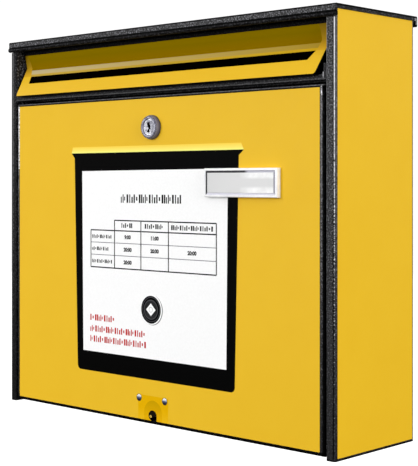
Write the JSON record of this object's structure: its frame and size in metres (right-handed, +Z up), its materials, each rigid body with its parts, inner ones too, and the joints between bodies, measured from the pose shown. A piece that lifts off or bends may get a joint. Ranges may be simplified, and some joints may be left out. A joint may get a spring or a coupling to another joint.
{
  "type": "mailbox",
  "caption": "Wall-mounted sheet-steel mailbox with a lift-up letter flap, a lockable drop-down door, a clear name plate and coloured printed film.",
  "frame": {"origin": "centre of the four wall holes, on the outer face of the back", "axes": "+X to the right seen from the front, +Y into the wall, +Z up"},
  "size_m": [0.3712, 0.1084, 0.325],
  "materials": {
    "black_powder_coat": "fine-texture matt powder coat",
    "black_rivet": "painted over",
    "yellow_film": "printed vinyl film, satin",
    "lock_chrome": "polished",
    "zinc_steel": "zinc plated",
    "rubber": "matt",
    "white_plastic": "satin",
    "paper": "blank paper",
    "clear_plastic": "clear moulded acrylic"
  },
  "bodies": {
    "casing": {"body_shell": "black_powder_coat", "floor_pan": "black_powder_coat", "front_rail": "black_powder_coat", "roof": "black_powder_coat", "casing_rivets": "black_rivet", "wall_spacers": "rubber", "door_buffers": "rubber", "side_film_left": "yellow_film", "side_film_right": "yellow_film", "flap_rod": "zinc_steel", "rod_caps": "zinc_steel"},
    "flap": {"flap_panel": "black_powder_coat", "flap_film": "yellow_film"},
    "door": {"door_panel": "black_powder_coat", "door_film": "yellow_film", "door_pins": "zinc_steel", "lock_housing": "lock_chrome", "lock_washer": "zinc_steel", "lock_nut": "zinc_steel", "nameplate_base": "white_plastic", "nameplate_insert": "paper", "nameplate_cover": "clear_plastic"},
    "lock": {"lock_plug": "lock_chrome", "lock_cam": "zinc_steel", "cam_screw": "zinc_steel"}
  },
  "joints": [
    {"name": "door_hinge", "type": "hinge", "parent": "casing", "child": "door", "pos_m": [0, -0.094, -0.156], "axis": [1, 0, 0], "range_deg": [0, 90]},
    {"name": "flap_hinge", "type": "hinge", "parent": "casing", "child": "flap", "pos_m": [0, -0.088, 0.1505], "axis": [-1, 0, 0], "range_deg": [0, 75]},
    {"name": "lock_turn", "type": "hinge", "parent": "door", "child": "lock", "pos_m": [0, -0.1, 0.0775], "axis": [0, -1, 0], "range_deg": [0, 90]}
  ]
}
